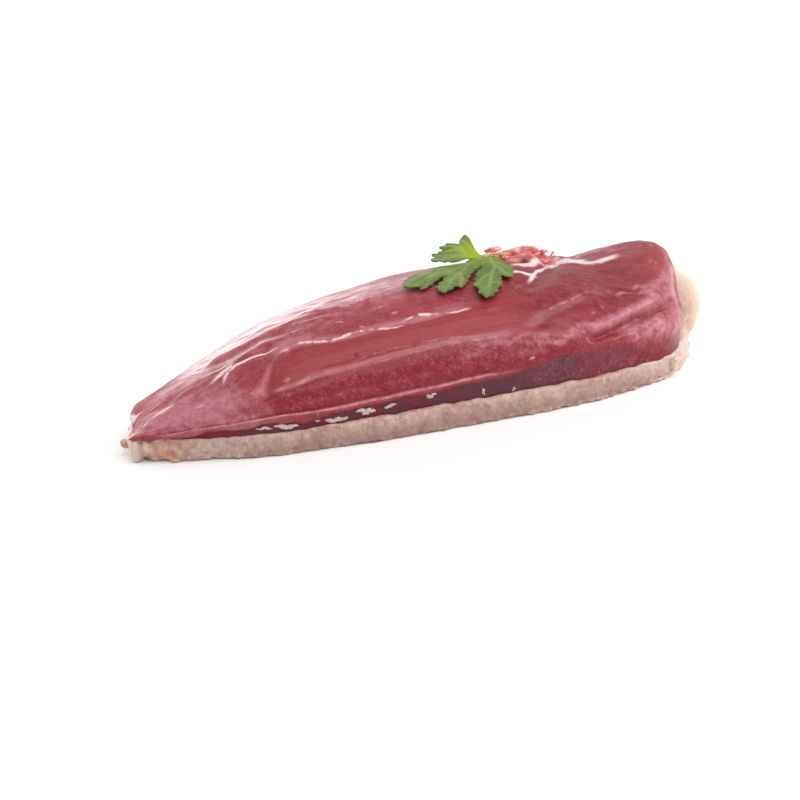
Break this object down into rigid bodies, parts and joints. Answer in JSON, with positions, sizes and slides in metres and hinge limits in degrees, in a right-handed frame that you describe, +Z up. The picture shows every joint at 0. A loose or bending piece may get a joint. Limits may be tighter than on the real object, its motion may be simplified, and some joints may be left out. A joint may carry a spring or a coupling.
{
  "type": "duck breast",
  "caption": "Raw duck breast lying skin down: a lean, tapered fillet on its slab of fat and skin, with a parsley leaf on the ridge.",
  "frame": {"origin": "on the flat underside of the skin, near the middle of the breast", "axes": "+X along the breast from the narrow tip to the blunt end, -Y towards the side that was trimmed straight, +Z up out of the lean side"},
  "size_m": [0.1857, 0.0909, 0.0411],
  "materials": {
    "lean_meat": "moist deep red lean with paler membrane",
    "pale_fat": "cream and pink fat, soft satin",
    "parsley_green": "fresh green leaf with pale veins"
  },
  "bodies": {
    "root": {"breast_meat": "lean_meat", "fat_skin": "pale_fat", "parsley_leaf": "parsley_green"}
  },
  "joints": []
}
